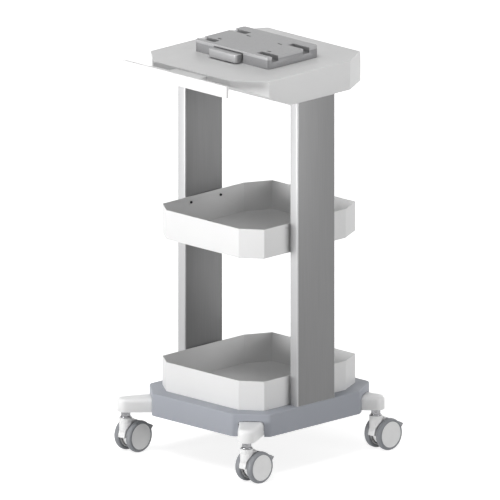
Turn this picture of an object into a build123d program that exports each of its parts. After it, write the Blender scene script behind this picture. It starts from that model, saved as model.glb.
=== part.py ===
from build123d import *
import math
import os

# Open two-tray equipment trolley on four braked twin-wheel casters.
# Millimetres, +Z up, the push bar is on the -Y side.
# The origin lies on the floor, under the middle of the whole trolley.

# Casters
WHEEL_DIAMETER = 75.0
WHEEL_WIDTH = 15.8
WHEEL_GAP = 21.6
TYRE_HEIGHT = 7.0
TYRE_SHOULDER_DROP = 2.4
HUB_WEB = 2.5
HUB_RIM = 3.0
HUB_BOSS_RADIUS = 8.0
HUB_CAP_PROUD = 0.4
AXLE_RADIUS = 4.0
AXLE_END_GAP = 0.5
CASTER_TRAIL = 24.0
CASTER_NECK_RADIUS = 15.0
CASTER_NECK_TOP = 84.0
CASTER_NECK_FOOT = 52.0
NECK_GROOVE_DROP = 9.5
NECK_GROOVE_WIDTH = 1.6
NECK_GROOVE_DEPTH = 0.8
FENDER_GAP = 1.05
FENDER_CLEAR = 1.5
HOUSING_DISC_RADIUS = 26.0
HOUSING_DISC_WIDTH = 14.0
STEM_COLLAR_RADIUS = 10.0
STEM_RADIUS = 6.0
STEM_REACH = 28.0
SPINDLE_REACH = 24.0
FRONT_STEM_Y = -228.0
REAR_STEM_Y = 192.0
STEM_X = 196.6

# Brake pedals
PEDAL_TIP_REACH = 75.0
PEDAL_TIP_HEIGHT = 52.0
PEDAL_CLEAR = 3.5
PEDAL_THICKNESS = 3.2
PEDAL_FRONT_ANGLE = 100.0
PEDAL_REAR_ANGLE = 27.0
PEDAL_WIDE_ANGLE = 62.0
PEDAL_WIDTH = 30.0
PEDAL_NECK_WIDTH = 18.0
PEDAL_LUG_WIDTH = 7.0
PEDAL_PIVOT_BACK = 10.0
PEDAL_PIVOT_UP = 24.5
PEDAL_BOSS_RADIUS = 5.0
PEDAL_PIN_RADIUS = 2.0

# Caster arms
ARM_BOTTOM = 93.0
ARM_TOP = 131.0
ARM_END_RADIUS = 20.5
ARM_ROOT_WIDTH = 57.0
ARM_TONGUE = 62.0
ARM_EDGE_RADIUS = 9.0
ARM_NOTCH_GAP = 1.5
ARM_WALL = 4.5
ARM_POCKET_DEPTH = 26.0
ARM_BOLT_INSETS = (20.0, 46.0)
ARM_BOLT_RADIUS = 4.0
ARM_BOLT_HEAD_RADIUS = 6.5
ARM_BOLT_HEAD_HEIGHT = 8.0
ARM_BOLT_BOSS_RADIUS = 9.0
ARM_BOLT_REACH = 20.0

# Base
BASE_HALF_WIDTH = 196.0
BASE_FRONT = -208.5
BASE_BACK = 221.0
BASE_FRONT_CUT = (66.0, 57.0)
BASE_BACK_CUT = (47.5, 81.0)
BASE_CORNER_RADIUS = 15.0
BASE_EDGE_RADIUS = 2.5
BASE_BOTTOM = 96.0
BASE_TOP = 150.0
BASE_WALL = 3.0
CHASSIS_THICKNESS = 4.0
CHASSIS_GAP = 1.5
CHASSIS_LIP = 22.0
CHASSIS_LIP_THICKNESS = 3.0
COLUMN_PAD_INSET = 2.5

# Trays
TRAY_HALF_WIDTH = 166.0
TRAY_FRONT = -175.3
TRAY_BACK = 187.4
TRAY_FRONT_CUT = (48.0, 35.5)
TRAY_BACK_CUT = (30.6, 62.8)
TRAY_BEND_RADIUS = 3.0
TRAY_HEIGHT = 69.5
TRAY_SHEET = 1.5
MID_TRAY_BOTTOM = 512.0
TRAY_STUD_X = 110.0
TRAY_STUD_Y = 110.0
TRAY_STUD_RADIUS = 2.5
TRAY_STUD_BOSS_RADIUS = 7.0
TRAY_NUT_RADIUS = 4.6
TRAY_NUT_HEIGHT = 4.0
TRAY_SCREW_Y = 48.0
TRAY_SCREW_DROP = 14.0
TRAY_SCREW_RADIUS = 2.5
TRAY_SCREW_HEAD_RADIUS = 4.4
TRAY_SCREW_HEAD_HEIGHT = 2.4
TRAY_SCREW_REACH = 12.0
TRAY_SPACER_RADIUS = 6.0

# Columns
COLUMN_INNER_X = 170.3
COLUMN_THICKNESS = 24.9
COLUMN_DEPTH = 122.0
COLUMN_TOP = 873.0
COLUMN_WALL = 2.2
COLUMN_LIP_RADIUS = 3.0
COLUMN_PANEL_DEPTH = 116.0
COLUMN_PANEL_RECESS = 0.6
COLUMN_PORT_Y = 32.0
COLUMN_PORT_RADIUS = 3.0
COLUMN_PORT_BOSS_RADIUS = 6.0
COLUMN_SCREW_HEAD_RADIUS = 5.0
COLUMN_SCREW_HEAD_HEIGHT = 5.0
COLUMN_SCREW_GRIP = 26.0

# Worktop
TOP_HALF_WIDTH = 193.5
TOP_FRONT = -210.8
TOP_BACK = 188.7
TOP_FRONT_CUT = (70.0, 59.5)
TOP_BACK_CUT = (42.6, 76.8)
TOP_CORNER_RADIUS = 4.0
TOP_EDGE_RADIUS = 1.6
TOP_HEIGHT = 942.0
TOP_WALL = 3.0
TOP_SLOPE_START = -84.0
TOP_SLOPE_ANGLE = 24.3
PAN_SHEET = 2.0
PAN_GAP = 0.3
PAN_SCREW_X = 120.0
PAN_SCREW_Y = (-70.0, 140.0)
PAN_SCREW_RADIUS = 2.0
PAN_SCREW_HEAD_RADIUS = 4.0
PAN_SCREW_HEAD_HEIGHT = 2.2
PAN_SCREW_REACH = 14.0
PAN_BOSS_RADIUS = 5.0
FRAME_SHEET = 3.0
FRAME_HALF_SPAN = 150.0
FRAME_DEPTH = 110.0
FRAME_FOOT_REACH = 188.0

# Push bar
BAR_LENGTH = 340.0
BAR_HEIGHT = 28.6
BAR_THICKNESS = 7.0
BAR_TOP = 947.0
BAR_FRONT = -267.0
BAR_EDGE_RADIUS = 1.2
BRACKET_WIDTH = 100.0
BRACKET_SHEET = 5.0
BRACKET_HEADROOM = 0.5
BRACKET_TAIL_Y = -20.0
BRACKET_FLANGE_HEIGHT = 22.0
BRACKET_SLOT_GAP = 0.4
BAR_SCREW_X = 34.0
BAR_SCREW_RADIUS = 2.5
BAR_SCREW_HEAD_RADIUS = 4.4
BAR_SCREW_HEAD_HEIGHT = 2.8
BAR_SCREW_REACH = 5.0
BAR_SCREW_DROP = 15.0
BRACKET_SCREW_INSET = 16.0

# Dock
DOCK_HALF_WIDTH = 120.0
DOCK_FRONT = -80.7
DOCK_BACK = 82.0
DOCK_CORNER_RADIUS = 8.0
DOCK_BODY_HEIGHT = 21.6
DOCK_PLATE_THICKNESS = 7.4
DOCK_EDGE_RADIUS = 1.0
SIDE_SLOT_INNER = 68.0
SIDE_SLOT_WIDTH = 20.4
FRONT_SIDE_SLOT_Y = -58.5
BACK_SIDE_SLOT_Y = 42.6
SIDE_SLOT_DEPTH = 13.0
SIDE_SLOT_RADIUS = 3.0
SMALL_SLOT_LENGTH = 14.0
SMALL_SLOT_WIDTH = 5.0
FRONT_SMALL_SLOT = (80.0, -38.0)
BACK_SMALL_SLOT = (51.0, 26.0)
SMALL_SLOT_DEPTH = 14.0
DOCK_SCREW_X = 96.0
DOCK_SCREW_Y = 12.0
DOCK_SCREW_RADIUS = 3.0
DOCK_SCREW_HEAD_RADIUS = 5.0
DOCK_SCREW_HEAD_HEIGHT = 4.0
DOCK_SCREW_BITE = 12.0
DOCK_BOSS_RADIUS = 7.0

# Release latch
LATCH_LEFT = -57.0
LATCH_RIGHT = 34.0
GRIP_DEPTH = 19.2
GRIP_LIFT = 3.0
GRIP_HEIGHT = 19.3
GRIP_CORNER_RADIUS = 6.0
GRIP_EDGE_RADIUS = 1.5
GRIP_WALL = 3.0
GRIP_GAP = 0.3
NECK_DEPTH = 18.0
NECK_HEIGHT = 12.8
MOUTH_SIDE_GAP = 3.0
MOUTH_TOP_GAP = 2.0
SLIDE_INSET = 8.0
SLIDE_THICKNESS = 5.0
SLIDE_REACH = 52.0
SPRING_WIRE = 0.8
SPRING_X = (-32.0, 9.0)
SPRING_LENGTH = 26.0

# Running and seating clearances
PIN_GAP = 0.05
FACE_GAP = 0.3
HOLE_GAP = 0.25

# Sizes that follow from the values above
wheel_radius = WHEEL_DIAMETER / 2
hub_radius = wheel_radius - TYRE_HEIGHT
wheel_inner = WHEEL_GAP / 2
wheel_outer = wheel_inner + WHEEL_WIDTH
chassis_bottom = ARM_TOP
chassis_top = chassis_bottom + CHASSIS_THICKNESS
cover_underside = BASE_TOP - BASE_WALL
column_outer_x = COLUMN_INNER_X + COLUMN_THICKNESS
column_middle_x = COLUMN_INNER_X + COLUMN_THICKNESS / 2
pan_top = COLUMN_TOP + PAN_SHEET
top_underside = TOP_HEIGHT - TOP_WALL
slope_rise = math.tan(math.radians(TOP_SLOPE_ANGLE))
bracket_top = top_underside - BRACKET_HEADROOM
bracket_bottom = bracket_top - BRACKET_SHEET
frame_top = bracket_bottom
frame_bottom = frame_top - FRAME_SHEET
bar_back = BAR_FRONT + BAR_THICKNESS
dock_body_top = TOP_HEIGHT + DOCK_BODY_HEIGHT
dock_top = dock_body_top + DOCK_PLATE_THICKNESS
slide_top = dock_body_top - FACE_GAP
slide_bottom = slide_top - SLIDE_THICKNESS
slide_left = LATCH_LEFT + SLIDE_INSET
slide_right = LATCH_RIGHT - SLIDE_INSET
grip_top = TOP_HEIGHT + GRIP_LIFT + GRIP_HEIGHT
neck_back = DOCK_FRONT + NECK_DEPTH
slide_back = neck_back + SLIDE_REACH
pocket_back = slide_back + SPRING_LENGTH + FACE_GAP
mouth_bottom = grip_top - NECK_HEIGHT - FACE_GAP
mouth_top = grip_top + MOUTH_TOP_GAP


def prism(plan, bottom, top):
    """Solid over a flat outline, between two heights."""
    return extrude(Pos(0, 0, bottom) * plan, amount=top - bottom)


def block(x_range, y_range, z_range):
    """Rectangular solid between pairs of limits."""
    size = [b - a for a, b in (x_range, y_range, z_range)]
    middle = [(a + b) / 2 for a, b in (x_range, y_range, z_range)]
    return Pos(*middle) * Box(*size)


def rod(x, y, radius, bottom, top):
    """Upright cylinder between two heights."""
    return Pos(x, y, (bottom + top) / 2) * Cylinder(radius, top - bottom)


def octagon(half_width, front, back, front_cut, back_cut):
    """Plan of the base, trays and worktop: a rectangle with four unequal corner cuts."""
    right = [
        (half_width - front_cut[0], front),
        (half_width, front + front_cut[1]),
        (half_width, back - back_cut[1]),
        (half_width - back_cut[0], back),
    ]
    left = [(-x, y) for x, y in reversed(right)]
    return Polygon(*right, *left, align=None)


def base_plan():
    return octagon(BASE_HALF_WIDTH, BASE_FRONT, BASE_BACK, BASE_FRONT_CUT, BASE_BACK_CUT)


def top_plan():
    return octagon(TOP_HALF_WIDTH, TOP_FRONT, TOP_BACK, TOP_FRONT_CUT, TOP_BACK_CUT)


def tray_plan():
    return octagon(TRAY_HALF_WIDTH, TRAY_FRONT, TRAY_BACK, TRAY_FRONT_CUT, TRAY_BACK_CUT)


def rounded_plan(plan, radius):
    return fillet(plan.vertices(), radius)


def shrunk(plan, amount):
    return offset(plan, -amount, kind=Kind.INTERSECTION)


def arm_place(side, front):
    """Frame of one arm: origin under the stem, X towards the base, and the distance to its wall."""
    stem_y = FRONT_STEM_Y if front else REAR_STEM_Y
    cut = BASE_FRONT_CUT if front else BASE_BACK_CUT
    wall_x = BASE_HALF_WIDTH - cut[0] / 2
    wall_y = BASE_FRONT + cut[1] / 2 if front else BASE_BACK - cut[1] / 2
    run_x = side * (wall_x - STEM_X)
    run_y = wall_y - stem_y
    turn = math.degrees(math.atan2(run_y, run_x))
    return Pos(side * STEM_X, stem_y, 0) * Rot(0, 0, turn), math.hypot(run_x, run_y)


def arm_plan(reach, grow=0.0):
    """Round nose at the stem, widening to the base wall, then a straight tongue."""
    nose = Circle(ARM_END_RADIUS + grow)
    root = Pos(reach + ARM_TONGUE / 2, 0) * Rectangle(ARM_TONGUE, ARM_ROOT_WIDTH + 2 * grow)
    return make_hull(nose.edges() + root.edges())


def arm_blank(reach, bottom, grow=0.0):
    """Outer form of an arm with its rounded upper edges."""
    body = prism(arm_plan(reach, grow), bottom, ARM_TOP + grow)
    return fillet(body.faces().sort_by(Axis.Z)[-1].edges(), ARM_EDGE_RADIUS + grow)


def arm(side, front):
    """Die-cast caster arm: hollow below, with a stem boss and two bolt bosses."""
    place, reach = arm_place(side, front)
    body = arm_blank(reach, ARM_BOTTOM)
    pocket = prism(shrunk(arm_plan(reach), ARM_WALL), ARM_BOTTOM, ARM_BOTTOM + ARM_POCKET_DEPTH)
    pocket -= rod(0, 0, ARM_END_RADIUS - ARM_WALL, ARM_BOTTOM, ARM_TOP)
    for inset in ARM_BOLT_INSETS:
        pocket -= rod(reach + inset, 0, ARM_BOLT_BOSS_RADIUS, ARM_BOTTOM, ARM_TOP)
    body -= pocket
    body -= rod(0, 0, STEM_RADIUS + PIN_GAP, ARM_BOTTOM, ARM_BOTTOM + STEM_REACH + FACE_GAP)
    for inset in ARM_BOLT_INSETS:
        body -= rod(reach + inset, 0, ARM_BOLT_RADIUS + PIN_GAP, ARM_TOP - ARM_BOLT_REACH - FACE_GAP, ARM_TOP)
    return place * body


def arm_bolt_points():
    for front in (True, False):
        for side in (-1, 1):
            place, reach = arm_place(side, front)
            for inset in ARM_BOLT_INSETS:
                yield (place * Pos(reach + inset, 0, 0)).position


def socket_screw(radius, head_radius, head_height, reach):
    """Socket-head screw standing on its head seat at the origin, shank down."""
    screw = rod(0, 0, head_radius, 0, head_height)
    screw -= prism(RegularPolygon(head_radius * 0.55, 6), head_height / 2, head_height)
    return screw + rod(0, 0, radius, -reach, 0)


def arm_bolts():
    bolt = socket_screw(
        ARM_BOLT_RADIUS, ARM_BOLT_HEAD_RADIUS, ARM_BOLT_HEAD_HEIGHT, ARM_BOLT_REACH + CHASSIS_THICKNESS
    )
    return [Pos(p.X, p.Y, chassis_top) * bolt for p in arm_bolt_points()]


def column_points():
    return [(side * column_middle_x, y) for side in (-1, 1) for y in (-COLUMN_PORT_Y, COLUMN_PORT_Y)]


def tray_stud_points():
    return [(x, y) for x in (-TRAY_STUD_X, TRAY_STUD_X) for y in (-TRAY_STUD_Y, TRAY_STUD_Y)]


def base_cover():
    """Moulded cover: octagonal shell with arm notches, column pads and stud bosses."""
    plan = rounded_plan(base_plan(), BASE_CORNER_RADIUS)
    cover = prism(plan, BASE_BOTTOM, BASE_TOP)
    cover = fillet(cover.faces().sort_by(Axis.Z)[-1].edges(), BASE_EDGE_RADIUS)
    inner = rounded_plan(shrunk(base_plan(), BASE_WALL), BASE_CORNER_RADIUS - BASE_WALL)
    cover -= prism(inner, BASE_BOTTOM, cover_underside)
    half_pad = COLUMN_DEPTH / 2 - COLUMN_PAD_INSET
    for side in (-1, 1):
        edges = sorted((side * (COLUMN_INNER_X + COLUMN_PAD_INSET), side * (column_outer_x - COLUMN_PAD_INSET)))
        cover += block(edges, (-half_pad, half_pad), (chassis_top, BASE_TOP - BASE_EDGE_RADIUS))
    for x, y in tray_stud_points():
        cover += rod(x, y, TRAY_STUD_BOSS_RADIUS, chassis_top, BASE_TOP - BASE_EDGE_RADIUS)
    for x, y in column_points():
        cover -= rod(x, y, COLUMN_PORT_RADIUS + HOLE_GAP, chassis_top, BASE_TOP)
    for x, y in tray_stud_points():
        cover -= rod(x, y, TRAY_STUD_RADIUS + HOLE_GAP, chassis_top, BASE_TOP)
    for front in (True, False):
        for side in (-1, 1):
            place, reach = arm_place(side, front)
            notch = arm_blank(reach, BASE_BOTTOM, ARM_NOTCH_GAP)
            cover -= place * notch
    return cover


def chassis():
    """Welded steel tray frame: a thick plate with a downturned lip, cut for the arms."""
    plan = rounded_plan(shrunk(base_plan(), BASE_WALL + CHASSIS_GAP), BASE_CORNER_RADIUS)
    inner = rounded_plan(
        shrunk(base_plan(), BASE_WALL + CHASSIS_GAP + CHASSIS_LIP_THICKNESS), BASE_CORNER_RADIUS
    )
    frame = prism(plan, chassis_bottom - CHASSIS_LIP, chassis_top)
    frame -= prism(inner, chassis_bottom - CHASSIS_LIP, chassis_bottom)
    for front in (True, False):
        for side in (-1, 1):
            place, reach = arm_place(side, front)
            plan = arm_plan(reach, FACE_GAP)
            frame -= place * prism(plan, chassis_bottom - CHASSIS_LIP, chassis_bottom)
    for point in arm_bolt_points():
        frame -= rod(point.X, point.Y, ARM_BOLT_RADIUS + HOLE_GAP, chassis_bottom, chassis_top)
    for x, y in column_points():
        frame -= rod(x, y, COLUMN_PORT_RADIUS + HOLE_GAP, chassis_bottom, chassis_top)
    for x, y in tray_stud_points():
        frame -= rod(x, y, TRAY_STUD_RADIUS + HOLE_GAP, chassis_bottom, chassis_top)
    return frame


def column_section():
    """Extrusion: rounded lips, shallow wide panels, two webs with screw ports."""
    outer = RectangleRounded(COLUMN_THICKNESS, COLUMN_DEPTH, COLUMN_LIP_RADIUS)
    for side in (-1, 1):
        strip = Rectangle(COLUMN_PANEL_RECESS * 2, COLUMN_PANEL_DEPTH)
        outer -= Pos(side * COLUMN_THICKNESS / 2, 0) * strip
    hollow = Rectangle(COLUMN_THICKNESS - 2 * COLUMN_WALL, COLUMN_DEPTH - 2 * COLUMN_WALL)
    for y in (-COLUMN_PORT_Y, COLUMN_PORT_Y):
        hollow -= Pos(0, y) * Rectangle(COLUMN_THICKNESS, COLUMN_WALL)
        hollow -= Pos(0, y) * Circle(COLUMN_PORT_BOSS_RADIUS)
    section = outer - hollow
    for y in (-COLUMN_PORT_Y, COLUMN_PORT_Y):
        section -= Pos(0, y) * Circle(COLUMN_PORT_RADIUS + PIN_GAP)
    return section


def tray_screw_points(side):
    """Fixing points of the middle tray on one column."""
    height = MID_TRAY_BOTTOM + TRAY_HEIGHT - TRAY_SCREW_DROP
    return [Pos(0, y, height) * Rot(0, side * 90, 0) for y in (-TRAY_SCREW_Y, TRAY_SCREW_Y)]


def column(side):
    body = prism(Pos(side * column_middle_x, 0) * column_section(), BASE_TOP, COLUMN_TOP)
    for place in tray_screw_points(side):
        near = COLUMN_INNER_X - COLUMN_WALL
        body -= place * rod(0, 0, TRAY_SCREW_RADIUS + PIN_GAP, near, COLUMN_INNER_X + 2 * COLUMN_WALL)
    return body


def column_screws():
    """Screws through the chassis from below, and through the worktop pan from above."""
    screws = []
    low_reach = BASE_TOP + COLUMN_SCREW_GRIP - chassis_bottom
    high_reach = COLUMN_SCREW_GRIP + PAN_SHEET + FRAME_SHEET
    low = socket_screw(COLUMN_PORT_RADIUS, COLUMN_SCREW_HEAD_RADIUS, COLUMN_SCREW_HEAD_HEIGHT, low_reach)
    high = socket_screw(COLUMN_PORT_RADIUS, COLUMN_SCREW_HEAD_RADIUS, COLUMN_SCREW_HEAD_HEIGHT, high_reach)
    for x, y in column_points():
        screws.append(Pos(x, y, chassis_bottom) * Rot(180, 0, 0) * low)
        screws.append(Pos(x, y, pan_top + FRAME_SHEET) * high)
    return screws


def tray(bottom):
    """Folded sheet tray, open at the top."""
    plan = rounded_plan(tray_plan(), TRAY_BEND_RADIUS)
    inner = rounded_plan(shrunk(tray_plan(), TRAY_SHEET), TRAY_BEND_RADIUS - TRAY_SHEET)
    shell = prism(plan, bottom, bottom + TRAY_HEIGHT)
    shell = fillet(shell.faces().sort_by(Axis.Z)[0].edges(), TRAY_BEND_RADIUS - TRAY_SHEET)
    return shell - prism(inner, bottom + TRAY_SHEET, bottom + TRAY_HEIGHT)


def mid_tray():
    body = tray(MID_TRAY_BOTTOM)
    for side in (-1, 1):
        for place in tray_screw_points(side):
            inside = TRAY_HALF_WIDTH - 2 * TRAY_SHEET
            body -= place * rod(0, 0, TRAY_SCREW_RADIUS + HOLE_GAP, inside, TRAY_HALF_WIDTH)
    return body


def mid_tray_spacers():
    spacers = []
    for side in (-1, 1):
        for place in tray_screw_points(side):
            ring = rod(0, 0, TRAY_SPACER_RADIUS, TRAY_HALF_WIDTH, COLUMN_INNER_X)
            ring -= rod(0, 0, TRAY_SCREW_RADIUS + HOLE_GAP, TRAY_HALF_WIDTH, COLUMN_INNER_X)
            spacers.append(place * ring)
    return spacers


def mid_tray_screws():
    """Button-head screws from inside the tray into the column wall."""
    seat = TRAY_HALF_WIDTH - TRAY_SHEET
    reach = COLUMN_INNER_X + COLUMN_WALL + TRAY_SCREW_REACH / 2 - seat
    screw = socket_screw(TRAY_SCREW_RADIUS, TRAY_SCREW_HEAD_RADIUS, TRAY_SCREW_HEAD_HEIGHT, reach)
    turned = Pos(0, 0, seat) * Rot(180, 0, 0) * screw
    return [place * turned for side in (-1, 1) for place in tray_screw_points(side)]


def lower_tray():
    """Tray with studs welded under it, through the cover and the chassis."""
    body = tray(BASE_TOP)
    foot = chassis_bottom - TRAY_NUT_HEIGHT - TRAY_SHEET
    for x, y in tray_stud_points():
        body += rod(x, y, TRAY_STUD_RADIUS, foot, BASE_TOP + TRAY_SHEET / 2)
    return body


def tray_nuts():
    bottom = chassis_bottom - TRAY_NUT_HEIGHT
    nut = prism(RegularPolygon(TRAY_NUT_RADIUS, 6), bottom, chassis_bottom)
    nut -= rod(0, 0, TRAY_STUD_RADIUS + PIN_GAP, bottom, chassis_bottom)
    return [Pos(x, y, 0) * nut for x, y in tray_stud_points()]


def under_slope(lift=0.0):
    """Space below the worktop's underside, which rises towards the front edge."""
    low = COLUMN_TOP + lift
    run = TOP_SLOPE_START - TOP_FRONT + TOP_WALL
    shift = lift * math.tan(math.radians(TOP_SLOPE_ANGLE / 2))
    start = TOP_SLOPE_START + shift
    profile = Polygon(
        (start, low),
        (start - run - shift, low + (run + shift) * slope_rise),
        (start - run - shift, low - TOP_HEIGHT / 2),
        (TOP_BACK + TOP_WALL, low - TOP_HEIGHT / 2),
        (TOP_BACK + TOP_WALL, low),
        align=None,
    )
    return extrude(Plane.YZ * profile, amount=TOP_HALF_WIDTH + TOP_WALL, both=True)


def pan_screw_points():
    return [(x, y) for x in (-PAN_SCREW_X, PAN_SCREW_X) for y in PAN_SCREW_Y]


def dock_screw_points():
    return [(x, y) for x in (-DOCK_SCREW_X, DOCK_SCREW_X) for y in (-DOCK_SCREW_Y, DOCK_SCREW_Y)]


def worktop_cover():
    """Moulded top: skin and side walls, bosses for the pan screws and under the dock."""
    plan = rounded_plan(top_plan(), TOP_CORNER_RADIUS)
    cover = prism(plan, COLUMN_TOP, TOP_HEIGHT)
    cover = fillet(cover.faces().sort_by(Axis.Z)[-1].edges(), TOP_EDGE_RADIUS)
    inner = rounded_plan(shrunk(top_plan(), TOP_WALL), TOP_CORNER_RADIUS - TOP_WALL)
    cover -= prism(inner, COLUMN_TOP, top_underside)
    for x, y in pan_screw_points():
        cover += rod(x, y, PAN_BOSS_RADIUS, pan_top, TOP_HEIGHT - TOP_EDGE_RADIUS)
        cover -= rod(x, y, PAN_SCREW_RADIUS + PIN_GAP, pan_top, pan_top + PAN_SCREW_REACH)
    for x, y in dock_screw_points():
        cover += rod(x, y, DOCK_BOSS_RADIUS, frame_top, TOP_HEIGHT - TOP_EDGE_RADIUS)
        cover -= rod(x, y, DOCK_SCREW_RADIUS + HOLE_GAP, frame_top, TOP_HEIGHT)
    half_slot = BRACKET_WIDTH / 2 + BRACKET_SLOT_GAP
    cover -= block(
        (-half_slot, half_slot),
        (TOP_FRONT, TOP_FRONT + TOP_WALL),
        (bracket_bottom - BRACKET_SLOT_GAP, bracket_top + BRACKET_SLOT_GAP),
    )
    return cover - under_slope()


def worktop_pan():
    """Sheet that closes the worktop from below and follows its slope."""
    plan = shrunk(top_plan(), TOP_WALL + PAN_GAP)
    pan = prism(plan, COLUMN_TOP, top_underside)
    pan -= under_slope()
    pan &= under_slope(PAN_SHEET)
    for x, y in column_points():
        pan -= rod(x, y, COLUMN_PORT_RADIUS + HOLE_GAP, COLUMN_TOP, pan_top)
    for x, y in pan_screw_points():
        pan -= rod(x, y, PAN_SCREW_RADIUS + HOLE_GAP, COLUMN_TOP, pan_top)
    return pan


def worktop_frame():
    """Folded steel bridge that stands on the columns and carries the dock and the push bar."""
    foot_top = pan_top + FRAME_SHEET
    right = [
        (FRAME_HALF_SPAN, frame_top),
        (FRAME_HALF_SPAN, foot_top),
        (FRAME_FOOT_REACH, foot_top),
        (FRAME_FOOT_REACH, pan_top),
        (FRAME_HALF_SPAN - FRAME_SHEET, pan_top),
        (FRAME_HALF_SPAN - FRAME_SHEET, frame_bottom),
    ]
    left = [(-x, z) for x, z in reversed(right)]
    bridge = extrude(Plane.XZ * Polygon(*right, *left, align=None), amount=FRAME_DEPTH / 2, both=True)
    for x, y in bracket_screw_points():
        bridge -= rod(x, y, BAR_SCREW_RADIUS + HOLE_GAP, frame_bottom, frame_top)
    for x, y in column_points():
        bridge -= rod(x, y, COLUMN_PORT_RADIUS + HOLE_GAP, pan_top, pan_top + FRAME_SHEET)
    for x, y in dock_screw_points():
        bridge -= rod(x, y, DOCK_SCREW_RADIUS + HOLE_GAP, frame_bottom, frame_top)
    return bridge


def worktop_screws():
    screw = socket_screw(PAN_SCREW_RADIUS, PAN_SCREW_HEAD_RADIUS, PAN_SCREW_HEAD_HEIGHT, PAN_SCREW_REACH)
    return [Pos(x, y, COLUMN_TOP) * Rot(180, 0, 0) * screw for x, y in pan_screw_points()]


def bracket_screw_points():
    return [(x, BRACKET_TAIL_Y - BRACKET_SCREW_INSET) for x in (-BAR_SCREW_X, BAR_SCREW_X)]


def bar_screw_points():
    return [(x, bracket_bottom - BAR_SCREW_DROP / 2) for x in (-BAR_SCREW_X, BAR_SCREW_X)]


def push_bar():
    """Flat bar in front of the worktop, with blind holes in its back."""
    bar = block((-BAR_LENGTH / 2, BAR_LENGTH / 2), (BAR_FRONT, bar_back), (BAR_TOP - BAR_HEIGHT, BAR_TOP))
    bar = fillet(bar.edges(), BAR_EDGE_RADIUS)
    for x, z in bar_screw_points():
        bar -= Pos(x, bar_back - BAR_SCREW_REACH / 2, z) * Rot(90, 0, 0) * Cylinder(
            BAR_SCREW_RADIUS + PIN_GAP, BAR_SCREW_REACH
        )
    return bar


def push_bar_bracket():
    """Bent steel strip from the bridge, out through the front edge, down behind the bar."""
    half = BRACKET_WIDTH / 2
    strip = block((-half, half), (bar_back, BRACKET_TAIL_Y), (bracket_bottom, bracket_top))
    flange = block(
        (-half, half),
        (bar_back, bar_back + BRACKET_SHEET),
        (bracket_top - BRACKET_FLANGE_HEIGHT, bracket_top),
    )
    bracket = strip + flange
    inside = bracket.edges().filter_by(Axis.X).sort_by_distance(
        (0, bar_back + BRACKET_SHEET, bracket_bottom)
    )[0]
    bracket = fillet(inside, BRACKET_SHEET / 2)
    for x, z in bar_screw_points():
        bracket -= Pos(x, bar_back + BRACKET_SHEET / 2, z) * Rot(90, 0, 0) * Cylinder(
            BAR_SCREW_RADIUS + HOLE_GAP, BRACKET_SHEET
        )
    for x, y in bracket_screw_points():
        bracket -= rod(x, y, BAR_SCREW_RADIUS + PIN_GAP, bracket_bottom, bracket_top)
    return bracket


def push_bar_screws():
    """Screws through the flange into the bar, and up through the bridge into the bracket."""
    seat = bar_back + BRACKET_SHEET
    reach = BRACKET_SHEET + BAR_SCREW_REACH - FACE_GAP
    lift = FRAME_SHEET + BRACKET_SHEET - FACE_GAP
    back = socket_screw(BAR_SCREW_RADIUS, BAR_SCREW_HEAD_RADIUS, BAR_SCREW_HEAD_HEIGHT, reach)
    under = socket_screw(BAR_SCREW_RADIUS, BAR_SCREW_HEAD_RADIUS, BAR_SCREW_HEAD_HEIGHT, lift)
    screws = [Pos(x, seat, z) * Rot(-90, 0, 0) * back for x, z in bar_screw_points()]
    screws += [Pos(x, y, frame_bottom) * Rot(180, 0, 0) * under for x, y in bracket_screw_points()]
    return screws


def dock_plan():
    plan = Pos(0, (DOCK_FRONT + DOCK_BACK) / 2) * Rectangle(2 * DOCK_HALF_WIDTH, DOCK_BACK - DOCK_FRONT)
    return rounded_plan(plan, DOCK_CORNER_RADIUS)


def side_slots(bottom):
    """Four channels open to the dock's sides."""
    cuts = []
    length = DOCK_HALF_WIDTH - SIDE_SLOT_INNER
    for side in (-1, 1):
        for y in (FRONT_SIDE_SLOT_Y, BACK_SIDE_SLOT_Y):
            slot = RectangleRounded(2 * length, SIDE_SLOT_WIDTH, SIDE_SLOT_RADIUS)
            cuts.append(prism(Pos(side * DOCK_HALF_WIDTH, y) * slot, bottom, dock_top))
    return cuts


def small_slots(bottom):
    """Four short slots for a device's fixing screws."""
    cuts = []
    for side in (-1, 1):
        for x, y in (FRONT_SMALL_SLOT, BACK_SMALL_SLOT):
            slot = SlotOverall(SMALL_SLOT_LENGTH, SMALL_SLOT_WIDTH)
            cuts.append(prism(Pos(side * x, y) * slot, bottom, dock_top))
    return cuts


def latch_pocket():
    """Room in the dock body for the slide and its springs."""
    return block(
        (slide_left - FACE_GAP, slide_right + FACE_GAP),
        (DOCK_FRONT, pocket_back),
        (slide_bottom - FACE_GAP, dock_body_top),
    )


def latch_mouth():
    """Opening in the dock's front face that the neck of the grip runs in."""
    return block(
        (LATCH_LEFT - FACE_GAP, LATCH_RIGHT + MOUTH_SIDE_GAP),
        (DOCK_FRONT, neck_back + FACE_GAP),
        (mouth_bottom, mouth_top),
    )


def dock_body():
    """Machined aluminium block with the latch pocket and the channel floors."""
    body = prism(dock_plan(), TOP_HEIGHT, dock_body_top)
    body -= latch_pocket()
    body -= latch_mouth()
    for cut in side_slots(dock_top - SIDE_SLOT_DEPTH) + small_slots(dock_top - SMALL_SLOT_DEPTH):
        body -= cut
    for x, y in dock_screw_points():
        body -= rod(x, y, DOCK_SCREW_RADIUS + PIN_GAP, TOP_HEIGHT, TOP_HEIGHT + DOCK_SCREW_BITE + FACE_GAP)
    return body


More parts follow.
